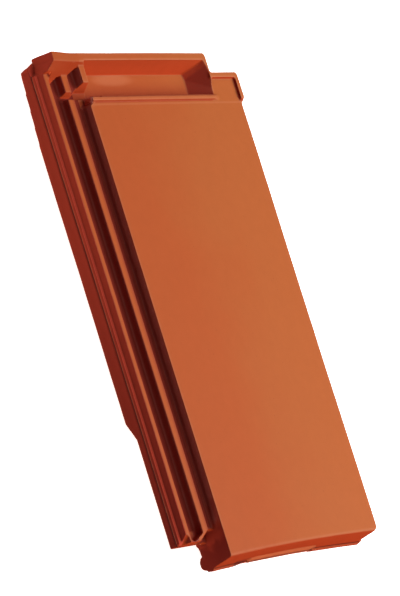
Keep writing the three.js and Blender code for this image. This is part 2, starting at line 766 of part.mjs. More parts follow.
/** Lip along the head of the weather face; its right end fades into the face. */
function headLip() {
  const profile = (x, height) => [
    [x, FACE_LENGTH, -JOIN],
    [x, FACE_LENGTH, height * 0.7],
    [x, FACE_LENGTH + 0.6, height],
    [x, lipBack - 0.5, height],
    [x, lipBack + 0.3, height * 0.4],
    [x, troughFoot, -JOIN],
  ];
  return [
    block([...profile(LIP_START - JOIN, LIP_HEIGHT), ...profile(LIP_END, LIP_HEIGHT)]),
    block([...profile(LIP_END, LIP_HEIGHT), ...profile(LIP_END + LIP_FADE, 0)]),
  ];
}

/** Low upstand that turns the right head corner. */
function upstand() {
  const legInner = COVER_WIDTH - UPSTAND_LEG;
  const legFoot = FACE_LENGTH;
  const bandFoot = upstandBack - UPSTAND_BAND;
  return [
    alongZ([
      [RIM_RIGHT - JOIN, upstandBack - 0.02],
      [RIM_RIGHT - JOIN, bandFoot],
      [legInner, bandFoot, 2],
      [legInner, legFoot],
      [COVER_WIDTH, legFoot],
      [COVER_WIDTH, upstandBack - 0.02, UPSTAND_ROUND],
    ], -JOIN, UPSTAND_HEIGHT),
    block([
      [legInner, legFoot + 0.1, -JOIN],
      [COVER_WIDTH, legFoot + 0.1, -JOIN],
      [legInner, legFoot + 0.1, UPSTAND_HEIGHT],
      [COVER_WIDTH, legFoot + 0.1, UPSTAND_HEIGHT],
      [legInner + 1, legFoot - UPSTAND_RAMP, -0.5],
      [COVER_WIDTH, legFoot - UPSTAND_RAMP, -0.5],
    ]),
  ];
}

/** Fillet in plan between the rim's right end and the upstand. */
function rimFillet() {
  const reach = 3;
  return alongZ([
    [RIM_RIGHT - JOIN, upstandBack - JOIN],
    [RIM_RIGHT + reach, upstandBack - JOIN],
    [RIM_RIGHT + reach, upstandBack],
    [RIM_RIGHT, upstandBack, 2.2],
    [RIM_RIGHT, upstandBack + reach],
    [RIM_RIGHT - JOIN, upstandBack + reach],
  ], -INNER_RIB_DEPTH + LOCK_PLAY, UPSTAND_HEIGHT);
}

// ---------------------------------------------------------------------------
// Underside: nibs, hooking rib and stiffeners
// ---------------------------------------------------------------------------

function nib(centre) {
  const half = NIB_WIDTH / 2;
  const root = half + 2;
  const low = -REST_DEPTH;
  const high = -PLATE_THICKNESS + JOIN;
  return block([
    [centre - half, NIB_FACE, low],
    [centre + half, NIB_FACE, low],
    [centre + half, NIB_FACE + NIB_LENGTH, low],
    [centre - half, NIB_FACE + NIB_LENGTH, low],
    [centre - root, NIB_FACE, high],
    [centre + root, NIB_FACE, high],
    [centre + root, NIB_FACE + NIB_LENGTH + NIB_BACK_LEAN, high],
    [centre - root, NIB_FACE + NIB_LENGTH + NIB_BACK_LEAN, high],
  ]);
}

/** Rib across the underside that drops into the trough of the course below. */
function hookRib() {
  const half = HOOK_RIB_WIDTH / 2;
  const root = half + HOOK_RIB_DRAFT;
  const low = -REST_DEPTH;
  const high = -PLATE_THICKNESS + JOIN;
  return block([
    [HOOK_RIB_START + HOOK_RIB_DRAFT, HOOK_RIB_POSITION - half, low],
    [HOOK_RIB_END - HOOK_RIB_DRAFT, HOOK_RIB_POSITION - half, low],
    [HOOK_RIB_END - HOOK_RIB_DRAFT, HOOK_RIB_POSITION + half, low],
    [HOOK_RIB_START + HOOK_RIB_DRAFT, HOOK_RIB_POSITION + half, low],
    [HOOK_RIB_START, HOOK_RIB_POSITION - root, high],
    [HOOK_RIB_END, HOOK_RIB_POSITION - root, high],
    [HOOK_RIB_END, HOOK_RIB_POSITION + root, high],
    [HOOK_RIB_START, HOOK_RIB_POSITION + root, high],
  ]);
}

function stiffener(centre) {
  const half = STIFFENER_WIDTH / 2;
  return alongY([
    [centre - half - STIFFENER_DRAFT, -PLATE_THICKNESS + JOIN],
    [centre + half + STIFFENER_DRAFT, -PLATE_THICKNESS + JOIN],
    [centre + half, -PLATE_THICKNESS - STIFFENER_HEIGHT, 1.5],
    [centre - half, -PLATE_THICKNESS - STIFFENER_HEIGHT, 1.5],
  ], HOOK_RIB_POSITION, troughFoot - JOIN);
}

// ---------------------------------------------------------------------------
// The whole tile
// ---------------------------------------------------------------------------

function buildTile() {
  const lock = join([waterLock(), deflector(), footPlatform()])
    .subtract(join([deflectorClearance()]))
    .add(solid(deflector()))
    .subtract(join([scarfCut(), flankRelief(), innerChannelEnd()]));

  const cover = join([plate(), headStep(), coverRib(), leftWall()])
    .subtract(join(coverLockGrooves()))
    .add(solid(coverRib()))
    .add(solid(footSkirt()).subtract(join(ledgeCuts())))
    .subtract(join([sideEdgeCut(), footCornerCut()]));

  const head = join([...headBody(), headSlope()])
    .subtract(join([leftWallTop(), rimCornerCut(), ...channelPockets()]));

  const underside = join([
    ...NIB_CENTRES.map(nib),
    ...STIFFENER_CENTRES.map(stiffener),
    hookRib(),
  ]);

  const hollows = join([
    troughHollow(),
    plateCornerCut(),
    headRelief(),
    leftWallRelief(),
    ...leftCornerCuts(),
    ...outletCuts(),
  ]);

  return lock
    .add(cover)
    .add(head)
    .add(underside)
    .subtract(hollows)
    .add(join([...headLip(), ...upstand(), rimFillet()]));
}

/** Indexed geometry of a finished solid. */
function geometryOf(whole) {
  const mesh = whole.getMesh();
  const geometry = new THREE.BufferGeometry();
  geometry.setAttribute('position', new THREE.BufferAttribute(mesh.vertProperties, 3));
  geometry.setIndex(new THREE.BufferAttribute(mesh.triVerts, 1));
  return geometry;
}

const geometry = geometryOf(buildTile());
geometry.computeBoundingBox();
const centre = geometry.boundingBox.getCenter(new THREE.Vector3());
geometry.computeVertexNormals();

const tile = new THREE.Mesh(geometry, new THREE.MeshStandardMaterial({
  color: CLAY_COLOUR, roughness: 0.62, metalness: 0,
}));
tile.name = 'roof_tile';
tile.position.set(-centre.x, -centre.y, REST_DEPTH);

const group = new THREE.Group();
group.add(tile);

export default group;
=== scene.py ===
"""Looks of a flat interlocking clay roof tile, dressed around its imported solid.

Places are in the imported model's own frame: +X runs across the roof, +Y up the slope
from the foot edge to the head, +Z out of the face. Lengths are metres, apart from the
regions of the finish, whose borders are given in millimetres.
"""

import logging
import math
from dataclasses import dataclass, replace
from enum import Enum
from functools import reduce
from operator import mul
from typing import Any, Optional, Protocol, Sequence, Union

import bpy
import numpy as np
from mathutils import Matrix, Vector, noise
from mathutils.bvhtree import BVHTree


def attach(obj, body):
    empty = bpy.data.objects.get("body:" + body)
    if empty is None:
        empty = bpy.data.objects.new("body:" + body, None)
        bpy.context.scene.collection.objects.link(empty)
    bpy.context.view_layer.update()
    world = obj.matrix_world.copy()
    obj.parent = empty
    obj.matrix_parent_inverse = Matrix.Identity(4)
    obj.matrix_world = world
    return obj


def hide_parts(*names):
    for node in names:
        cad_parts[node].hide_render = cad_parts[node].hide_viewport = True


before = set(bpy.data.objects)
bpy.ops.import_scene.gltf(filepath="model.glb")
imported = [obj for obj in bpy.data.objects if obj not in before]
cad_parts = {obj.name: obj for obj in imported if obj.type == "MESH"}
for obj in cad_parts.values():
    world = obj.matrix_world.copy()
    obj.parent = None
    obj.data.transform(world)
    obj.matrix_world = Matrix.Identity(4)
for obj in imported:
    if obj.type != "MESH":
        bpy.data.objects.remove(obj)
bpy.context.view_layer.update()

LOG = logging.getLogger("roof_tile")

MM = 0.001
TILE_NODE = "roof_tile"
TILE_BODY = "root"

# Names of the values that the mesh stores for its finish
EDGE_MARK = "edge"
HOLLOW_MARK = "hollow"
OPEN_MARK = "open"

# Heights over the tile's lowest faces, in millimetres
CREASE_RISE = 23.4
DRIP_RISE = 22.2

Triple = tuple[float, float, float]
Colour = Triple
Border = tuple[float, float]


# ---------------------------------------------------------------------------
# Shader sheets
# ---------------------------------------------------------------------------


class Signal:
    """One value that varies over the surface, ready for arithmetic."""

    def __init__(self, sheet: "Sheet", socket: bpy.types.NodeSocket) -> None:
        """Keeps the socket and the sheet that its nodes are added to.

        Args:
            sheet: the shader sheet that holds the socket's node.
            socket: the output socket.
        """
        self.sheet = sheet
        self.socket = socket

    def _maths(self, operation: str, *terms: Any) -> "Signal":
        """Adds one Math node.

        Args:
            operation: the Math node's operation.
            terms: its inputs in order, numbers or signals.

        Returns:
            The node's result.
        """
        return self.sheet.add("ShaderNodeMath", {"operation": operation}, dict(enumerate(terms)))

    def __add__(self, other: Any) -> "Signal":
        """Sum."""
        return self._maths("ADD", self, other)

    def __radd__(self, other: Any) -> "Signal":
        """Sum, with this signal on the right."""
        return self._maths("ADD", other, self)

    def __sub__(self, other: Any) -> "Signal":
        """Difference."""
        return self._maths("SUBTRACT", self, other)

    def __rsub__(self, other: Any) -> "Signal":
        """Difference, with this signal on the right."""
        return self._maths("SUBTRACT", other, self)

    def __mul__(self, other: Any) -> "Signal":
        """Product."""
        return self._maths("MULTIPLY", self, other)

    def __rmul__(self, other: Any) -> "Signal":
        """Product, with this signal on the right."""
        return self._maths("MULTIPLY", other, self)

    def past(self, border: Border) -> "Signal":
        """Finds what lies past a soft border.

        Args:
            border: the values at which the result reaches 0 and 1.

        Returns:
            0 to 1.
        """
        low, high = border
        return self.sheet.add(
            "ShaderNodeMapRange",
            {"interpolation_type": "SMOOTHSTEP"},
            {"Value": self, "From Min": low, "From Max": high},
        )

    def short_of(self, border: Border) -> "Signal":
        """Finds what lies short of a soft border, which is all that doesn't lie past it."""
        return 1 - self.past(border)

    def swing(self, reach: float) -> "Signal":
        """Turns 0 to 1 into a swing about 0 that is as wide as the reach."""
        return (self - 0.5) * reach


class Sheet:
    """A material's node tree, filled from the finish outwards."""

    def __init__(self, name: str) -> None:
        """Starts an empty material.

        Args:
            name: the material's name.
        """
        self.material = bpy.data.materials.new(name)
        self.material.use_nodes = True
        self.tree = self.material.node_tree
        self.tree.nodes.clear()

    def node(self, kind: str, settings: dict[str, Any], inputs: dict[Any, Any]) -> bpy.types.Node:
        """Adds one node, sets it up and wires it.

        Args:
            kind: the node's type.
            settings: its properties, set first.
            inputs: a number, colour, signal or socket for each input, by name or place.

        Returns:
            The node.
        """
        made = self.tree.nodes.new(kind)
        for key, value in settings.items():
            setattr(made, key, value)
        for key, value in inputs.items():
            target = made.inputs[key]
            if isinstance(value, Signal):
                value = value.socket
            if isinstance(value, bpy.types.NodeSocket):
                self.tree.links.new(value, target)
            else:
                target.default_value = self._sized(value, target)
        return made

    def add(
        self,
        kind: str,
        settings: dict[str, Any],
        inputs: dict[Any, Any],
        output: Union[int, str] = 0,
    ) -> Signal:
        """Adds one node and hands back one of its outputs.

        Args:
            kind: the node's type.
            settings: its properties.
            inputs: its inputs, by name or place.
            output: name or place of the wanted output.

        Returns:
            The output.
        """
        return Signal(self, self.node(kind, settings, inputs).outputs[output])

    def mix(self, amount: Any, first: Any, second: Any, blend: str = "MIX") -> Signal:
        """Blends two colours.

        Args:
            amount: 0 gives the first, 1 the second.
            first: colour or signal.
            second: colour or signal.
            blend: the Mix node's blend type.

        Returns:
            The blended colour.
        """
        return self.add(
            "ShaderNodeMix",
            {"data_type": "RGBA", "blend_type": blend},
            {0: amount, 6: first, 7: second},
            2,
        )

    def split(self, vector: Signal) -> tuple[Signal, ...]:
        """Takes a vector apart into its X, Y and Z."""
        parts = self.node("ShaderNodeSeparateXYZ", {}, {0: vector})
        return tuple(Signal(self, parts.outputs[axis]) for axis in "XYZ")

    def mark(self, name: str) -> Signal:
        """Reads a value that the mesh stores at each of its points."""
        return self.add("ShaderNodeAttribute", {"attribute_name": name}, {}, "Fac")

    def grain(
        self,
        place: Signal,
        size: float,
        detail: float = 2.0,
        roughness: float = 0.5,
    ) -> Signal:
        """Noise with a feature size given in metres.

        Args:
            place: the coordinates.
            size: size of the largest features.
            detail: number of finer octaves.
            roughness: weight of the finer octaves.

        Returns:
            Noise from 0 to 1, around 0.5.
        """
        return self.add(
            "ShaderNodeTexNoise",
            {},
            {"Vector": place, "Scale": 1 / size, "Detail": detail, "Roughness": roughness},
        )

    @staticmethod
    def _sized(value: Any, target: bpy.types.NodeSocket) -> Any:
        """Adds the fourth number that a colour socket wants."""
        if target.type == "RGBA" and isinstance(value, Sequence) and len(value) == 3:
            return (*value, 1.0)
        return value


# ---------------------------------------------------------------------------
# Regions of the surface
# ---------------------------------------------------------------------------


class Skin:
    """What the shader knows about each place on the tile.

    Attributes:
        place: the place itself, in metres.
        across: millimetres to the right of the tile's middle.
        along: millimetres up the slope from the tile's middle.
        rise: millimetres over the tile's lowest faces.
        up: share of the surface's direction that points out of the face.
        forward: share that points to the foot.
        leftward: share that points to the left.
        openness: share of the air over the surface that is free.
        edge: how far the place stands out of its neighbourhood.
        hollow: how far it lies under its neighbourhood.
        clouds: slow noise.
        mottle: noise of the slip's own mottle.
        fine: noise of the clay's grain.
    """

    CLOUD_SIZE = 90 * MM
    MOTTLE_SIZE = 9 * MM
    GRAIN_SIZE = 1.1 * MM

    def __init__(self, sheet: Sheet) -> None:
        """Adds the nodes that measure the surface.

        Args:
            sheet: the sheet that is filled.
        """
        self.sheet = sheet
        coords = sheet.node("ShaderNodeTexCoord", {}, {})
        self.place = Signal(sheet, coords.outputs["Object"])
        scaled = sheet.add(
            "ShaderNodeVectorMath", {"operation": "SCALE"}, {0: self.place, "Scale": 1 / MM}
        )
        self.across, self.along, self.rise = sheet.split(scaled)
        geometry = sheet.node("ShaderNodeNewGeometry", {}, {})
        rightward, backward, self.up = sheet.split(Signal(sheet, geometry.outputs["Normal"]))
        self.leftward = 0 - rightward
        self.forward = 0 - backward
        self.openness = sheet.mark(OPEN_MARK)
        self.edge = sheet.mark(EDGE_MARK)
        self.hollow = sheet.mark(HOLLOW_MARK)
        self.clouds = sheet.grain(self.place, self.CLOUD_SIZE, detail=3.0)
        self.mottle = sheet.grain(self.place, self.MOTTLE_SIZE, detail=4.0, roughness=0.6)
        self.fine = sheet.grain(self.place, self.GRAIN_SIZE, detail=3.0, roughness=0.65)


@dataclass(frozen=True)
class Stretch:
    """Part of a measure's range. Each end is a soft border, or open where there is none."""

    start: Optional[Border] = None
    end: Optional[Border] = None

    @staticmethod
    def band(middle: float, core: float, reach: float) -> "Stretch":
        """Makes a narrow stretch around one value.

        Args:
            middle: the value.
            core: distance from it at which the stretch starts to fade.
            reach: distance at which nothing is left of it.

        Returns:
            The stretch.
        """
        return Stretch((middle - reach, middle - core), (middle + core, middle + reach))

    def masks(self, measure: Signal) -> list[Signal]:
        """Cuts the stretch out of a measure.

        Args:
            measure: the measure.

        Returns:
            One mask for each border, 1 on the stretch's side of it.
        """
        found = []
        if self.start:
            found.append(measure.past(self.start))
        if self.end:
            found.append(measure.short_of(self.end))
        return found


@dataclass(frozen=True)
class Region:
    """Part of the skin, limited by a stretch of one or more of the skin's measures."""

    across: Optional[Stretch] = None
    along: Optional[Stretch] = None
    rise: Optional[Stretch] = None
    up: Optional[Stretch] = None
    forward: Optional[Stretch] = None
    leftward: Optional[Stretch] = None
    openness: Optional[Stretch] = None

    def mask(self, skin: Skin) -> Signal:
        """Finds the region.

        Args:
            skin: the tile's surface.

        Returns:
            0 to 1, 1 inside.
        """
        limits = [(name, stretch) for name, stretch in vars(self).items() if stretch]
        masks = [mask for name, stretch in limits for mask in stretch.masks(getattr(skin, name))]
        return reduce(mul, masks)


@dataclass(frozen=True)
class Tint:
    """A colour laid over one region of the clay, here mostly painted shade and painted light."""

    colour: Colour
    region: Region
    strength: float = 1.0

    def lay(self, skin: Skin, ground: Any, share: Optional[Signal] = None) -> Signal:
        """Lays the colour over another.

        Args:
            skin: the tile's surface.
            ground: the colour or signal that it is laid over.
            share: one more mask, where the region alone isn't enough.

        Returns:
            The new colour.
        """
        amount = self.region.mask(skin) * self.strength
        if share is not None:
            amount = amount * share
        return skin.sheet.mix(amount, ground, self.colour)


# Where the lock ends and the plate starts, and how much a face lies rather than stands
LOCK_EDGE: Border = (-93.4, -93.0)
LYING: Border = (0.4, 0.9)

PLATE = Region(across=Stretch(start=LOCK_EDGE))
CHANNELS = Region(
    across=Stretch(end=LOCK_EDGE),
    along=Stretch(start=(-187.0, -185.0)),
    rise=Stretch(end=(32.4, 33.2)),
)
TROUGH = replace(PLATE, along=Stretch(start=(177.0, 178.0)), rise=Stretch(end=(38.0, 39.5)))
FOOT_FRONT = replace(PLATE, along=Stretch(end=(-191.0, -190.0)))
FLANK = Region(across=Stretch(end=(-133.0, -132.6)))
CUT_CORNER = Region(
    across=Stretch(end=(-119.0, -118.6)),
    along=Stretch(start=(201.0, 201.5)),
    rise=Stretch(end=(29.0, 30.0)),
)


# ---------------------------------------------------------------------------
# Finishes
# ---------------------------------------------------------------------------

# Pale colour of painted highlights, dark colour of painted shade, and the colour of iron specks
PALE_HIGHLIGHT: Colour = (0.500, 0.160, 0.072)
SHADE_DARK: Colour = (0.060, 0.012, 0.010)
SPECKED: Colour = (0.170, 0.040, 0.022)


@dataclass(frozen=True)
class FaceSlip:
    """Slip on the lying faces that are open to the air, with painted shade by the lip and on the ribs'
    right edges, and a painted sheen in the trough.
    """

    # It turns warmer to the right, past a border that the clouds move to and fro
    cool: Colour = (0.375, 0.077, 0.021)
    warm: Colour = (0.370, 0.093, 0.026)
    warming: Border = (-60.0, 100.0)
    warming_drift: float = 160.0
    # Painted shade on the trough floor, darker towards the lip
    lip_shade: Tint = Tint(
        (0.330, 0.045, 0.018),
        replace(TROUGH, along=Stretch((177.0, 178.0), (184.0, 202.0))),
        0.7,
    )
    # A painted sheen: a paler oval on the trough floor, with a ragged edge
    trough_sheen: Tint = Tint(PALE_HIGHLIGHT, TROUGH, 0.45)
    sheen_middle: tuple[float, float] = (-26.6, 201.5)
    sheen_reach: tuple[float, float] = (34.0, 6.5)
    sheen_drift: float = 1.2
    # Painted shade on the right edges of the inner and the outer rib's tops, short of the rim
    shoulder_shade: Colour = (0.200, 0.028, 0.020)
    shoulder_shade_strength: float = 0.85
    shaded_shoulders: tuple[Stretch, ...] = (
        Stretch((-108.5, -101.0), LOCK_EDGE),
        Stretch((-129.5, -127.0), (-119.0, -117.0)),
    )
    shoulder_head: Border = (196.0, 201.0)
    shoulder_top: Border = (36.0, 37.0)

    def paint(self, skin: Skin) -> Signal:
        """Colours the lying faces that are open to the air.

        Args:
            skin: the tile's surface.

        Returns:
            The slip's colour there.
        """
        warm = (skin.across + skin.clouds.swing(self.warming_drift)).past(self.warming)
        slip = skin.sheet.mix(warm, self.cool, self.warm)
        slip = self.lip_shade.lay(skin, slip)
        slip = self.trough_sheen.lay(skin, slip, self._sheen_patch(skin))
        for across in self.shaded_shoulders:
            shaded = Region(across, Stretch(end=self.shoulder_head), Stretch(end=self.shoulder_top))
            slip = Tint(self.shoulder_shade, shaded, self.shoulder_shade_strength).lay(skin, slip)
        return slip

    def _sheen_patch(self, skin: Skin) -> Signal:
        """Finds the oval of painted sheen.

        Args:
            skin: the tile's surface.

        Returns:
            0 to 1.
        """
        middle_x, middle_y = self.sheen_middle
        reach_x, reach_y = self.sheen_reach
        off_x = (skin.across - middle_x) * (1 / reach_x)
        off_y = (skin.along - middle_y) * (1 / reach_y)
        return (off_x * off_x + off_y * off_y + skin.clouds.swing(self.sheen_drift)).short_of((0.0, 1.0))


@dataclass(frozen=True)
class WallSlip:
    """Darker red of the steep and the sheltered faces, partly slip that ran thin and partly painted
    shade, with more painted shade in the channels and towards the foot, and painted light on the flank's
    ledge and on sheltered foot-facing walls.
    """

    side: Colour = (0.285, 0.030, 0.0155)
    # Painted shade: sheltered, left-facing walls in the lock's channels take the greyer red that shade
    # has there
    crevice_shade_tone: Tint = Tint(
        (0.390, 0.112, 0.088),
        Region(
            across=Stretch(end=(-87.6, -87.2)),
            along=Stretch(start=(-190.0, -178.0)),
            leftward=Stretch(start=(0.15, 0.5)),
            openness=Stretch(end=(0.45, 0.72)),
        ),
    )
    nook: Tint = Tint(
        (0.720, 0.270, 0.215),
        Region(
            across=Stretch((-90.0, -89.0), (-84.8, -84.4)),
            along=Stretch(start=(168.0, 170.0)),
            leftward=Stretch(start=(0.5, 0.8)),
        ),
    )
    # Painted shade: lying faces that are sheltered take a dark red
    sheltered_floor_shade: Tint = Tint((0.330, 0.052, 0.034), Region(up=Stretch(start=LYING)))
    # Painted shade: the floors of the lock's channels take a darker red
    channel: Tint = Tint((0.200, 0.026, 0.017), replace(CHANNELS, up=Stretch(start=LYING)))
    # Painted shade: walls in the open get darker towards the foot
    foot_wall_shade: Tint = Tint(
        (0.115, 0.011, 0.0075), Region(openness=Stretch(start=(0.65, 0.85))), 0.9
    )
    foot_shade_fade: Border = (-260.0, 120.0)
    foot_shade_drift: float = 80.0
    # Painted light and shade on foot-facing walls: a brighter red where sheltered, a darker one in the
    # open
    front: Colour = (0.480, 0.060, 0.018)
    front_open: Tint = Tint((0.320, 0.035, 0.010), Region(openness=Stretch(start=(0.58, 0.84))))
    front_facing: Border = (0.15, 0.65)
    # Painted highlight: lying faces on the lock's flank, its ledge among them, take a bright red
    ledge: Tint = Tint((0.560, 0.066, 0.038), Region(up=Stretch(start=(0.4, 0.8))))

    def paint(self, skin: Skin, flank: Signal) -> Signal:
        """Colours the walls and the channels.

        Args:
            skin: the tile's surface.
            flank: mask of the lock's outer side.

        Returns:
            The slip's colour there.
        """
        side = self.side
        for tint in (self.crevice_shade_tone, self.nook, self.sheltered_floor_shade, self.channel):
            side = tint.lay(skin, side)
        near_foot = (skin.along + skin.clouds.swing(self.foot_shade_drift)).short_of(self.foot_shade_fade)
        side = self.foot_wall_shade.lay(skin, side, near_foot)
        front = self.front_open.lay(skin, self.front)
        side = skin.sheet.mix(skin.forward.past(self.front_facing), side, front)
        return self.ledge.lay(skin, side, flank)


@dataclass(frozen=True)
class PaintedShadeAndHighlights:
    """Painted shade and painted light on small places: dark lines in grooves and folds, shadow at each
    notch, and paler or brighter strips by the lip, at the drip ledge and at the outer pocket's end.
    """

    # Painted shade: a dark line in the groove along the flank
    crease_shade: Tint = Tint(
        SHADE_DARK, Region(rise=Stretch.band(CREASE_RISE, 0.4, 0.9), up=Stretch(end=(0.3, 0.6))), 0.85
    )
    # Painted light: the front of the drip ledge's middle stretch takes the orange of a lit top
    drip_front_light: Tint = Tint(
        (0.420, 0.092, 0.034),
        replace(
            FOOT_FRONT,
            across=Stretch((-46.0, -43.0), (56.0, 58.0)),
            rise=Stretch(end=(DRIP_RISE + 5.6, DRIP_RISE + 6.2)),
        ),
        0.9,
    )
    # Painted shade: a dark line in the seat at the foot of the lip
    lip_seat_shade: Tint = Tint(
        (0.330, 0.040, 0.009),
        Region(
            across=Stretch((-86.0, -84.0), (88.0, 93.0)),
            along=Stretch((175.7, 176.1), (177.4, 177.8)),
            rise=Stretch(end=(42.6, 43.1)),
        ),
        0.8,
    )
    # Painted highlight: a pale line on the face just short of the lip
    lip_highlight: Tint = Tint(
        PALE_HIGHLIGHT, replace(PLATE, along=Stretch((173.0, 174.2), (174.6, 175.7))), 0.3
    )
    # Painted light: a bright red on the small steep wall at the outer pocket's end, in place of its shade
    pocket_end_light: Tint = Tint(
        (0.850, 0.130, 0.042),
        Region(
            across=Stretch((-128.2, -127.8), (-125.4, -125.0)),
            along=Stretch(start=(203.0, 203.4)),
            rise=Stretch(start=(33.9, 34.3)),
            up=Stretch(end=(0.3, 0.6)),
        ),
    )
    # Painted shade: the lying top of the drip ledge takes a dark red
    drip_ledge_shade: Tint = Tint(
        (0.310, 0.046, 0.015),
        replace(
            FOOT_FRONT,
            rise=Stretch(end=(DRIP_RISE, DRIP_RISE + 0.4)),
            up=Stretch(start=(0.45, 0.7)),
        ),
    )
    # Painted shade: a dark line along the fold just over the drip ledge
    drip_fold_shade: Tint = Tint(
        SHADE_DARK,
        replace(
            FOOT_FRONT,
            rise=Stretch.band(DRIP_RISE + 0.5, 0.3, 0.9),
            forward=Stretch(start=(0.6, 0.85)),
        ),
        0.75,
    )
    # Painted shadow in the notches at both ends of the drip ledge's middle stretch
    notch_shadow_strength: float = 0.65
    notch_shadow_top: Border = (DRIP_RISE, DRIP_RISE + 8.0)
    notch_shadows: tuple[Stretch, ...] = (
        Stretch((-64.0, -62.0), (-50.0, -44.0)),
        Stretch((52.0, 53.0), (58.0, 59.0)),
    )

    def paint(self, skin: Skin, slip: Signal, flank: Signal) -> Signal:
        """Lays the marks over the slip.

        Args:
            skin: the tile's surface.
            slip: the slip's colour.
            flank: mask of the lock's outer side.

        Returns:
            The marked colour.
        """
        slip = self.crease_shade.lay(skin, slip, flank)
        for tint in (
            self.drip_front_light,
            self.lip_seat_shade,
            self.lip_highlight,
            self.pocket_end_light,
            self.drip_ledge_shade,
            self.drip_fold_shade,
        ):
            slip = tint.lay(skin, slip)
        for across in self.notch_shadows:
            dark = replace(FOOT_FRONT, across=across, rise=Stretch(end=self.notch_shadow_top))
            slip = Tint(SHADE_DARK, dark, self.notch_shadow_strength).lay(skin, slip)
        return slip


@dataclass(frozen=True)
class MottleAndPaintedLight:
    """Mottle of the slip, painted shade in its hollows, painted highlights on its edges, and the specks
    in it.
    """

    mottle_depth: float = 0.10
    grain_depth: float = 0.08
    hollow_shade_depth: float = 0.10
    # Painted highlights on the edges of the plate, broken into patches, and weaker at the foot
    edge_highlight: Tint = Tint(PALE_HIGHLIGHT, replace(PLATE, up=Stretch(start=(0.45, 0.8))), 0.55)
    highlight_patches: Border = (0.0, 0.5625)
    foot_highlight_cut: float = 0.6
    # Specks: their distance, their size in it, and the swarms that they come in
    speck_strength: float = 0.45
    speck_pitch: float = 5.5 * MM
    speck_rim: Border = (0.05, 0.11)
    swarm_size: float = 22 * MM
    swarm_rim: Border = (0.5, 0.62)

    def specks(self, skin: Skin) -> Signal:
        """Finds the specks of iron, which come in loose swarms.

        Args:
            skin: the tile's surface.

        Returns:
            0 to 1, 1 in a speck.
        """
        distance = skin.sheet.add(
            "ShaderNodeTexVoronoi",
            {"feature": "F1"},
            {"Vector": skin.place, "Scale": 1 / self.speck_pitch, "Randomness": 1.0},
            "Distance",
        )
        swarm = skin.sheet.grain(skin.place, self.swarm_size).past(self.swarm_rim)
        return distance.short_of(self.speck_rim) * swarm

    def paint(self, skin: Skin, slip: Signal, specks: Signal) -> Signal:
        """Mottles the slip, paints shade into its hollows and highlights onto its edges, and specks it.

        Args:
            skin: the tile's surface.
            slip: the slip's colour.
            specks: mask of the specks.

        Returns:
            The mottled, shaded, highlighted and specked colour.
        """
        swing = skin.mottle.swing(self.mottle_depth) + skin.fine.swing(self.grain_depth)
        # Mottle and grain vary the tone; places in hollows are darkened as painted shade
        shade = 1 + swing - skin.hollow * self.hollow_shade_depth
        grey = skin.sheet.add("ShaderNodeCombineColor", {}, {0: shade, 1: shade, 2: shade})
        slip = skin.sheet.mix(1.0, slip, grey, "MULTIPLY")
        spared = 1 - FOOT_FRONT.mask(skin) * self.foot_highlight_cut
        highlight_amount = skin.edge * skin.mottle.past(self.highlight_patches) * spared
        slip = self.edge_highlight.lay(skin, slip, highlight_amount)
        return skin.sheet.mix(specks * self.speck_strength, slip, SPECKED)


@dataclass(frozen=True)
class BareClay:
    """Clay of the underside, which gets no slip and clouds in the kiln."""

    body: Colour = (0.500, 0.200, 0.100)
    scorched: Colour = (0.300, 0.095, 0.048)
    scorch_size: float = 60 * MM
    scorch_rim: Border = (0.4, 0.72)
    scorch_strength: float = 0.55
    pore_level: float = 0.42
    pore_gain: float = 1.4
    slip_end: Border = (-0.55, -0.2)
    slip_end_drift: float = 0.25

    def mask(self, skin: Skin) -> Signal:
        """Finds the faces that look down, up to the ragged end of the slip.

        Args:
            skin: the tile's surface.

        Returns:
            0 to 1, 1 where the clay is bare.
        """
        return (skin.up + skin.mottle.swing(self.slip_end_drift)).short_of(self.slip_end)

    def paint(self, skin: Skin) -> Signal:
        """Colours the bare clay.

        Args:
            skin: the tile's surface.

        Returns:
            Its colour.
        """
        kiln = skin.sheet.grain(skin.place, self.scorch_size).past(self.scorch_rim)
        bare = skin.sheet.mix(kiln * self.scorch_strength, self.body, self.scorched)
        return skin.sheet.mix((skin.fine - self.pore_level) * self.pore_gain, bare, SPECKED)


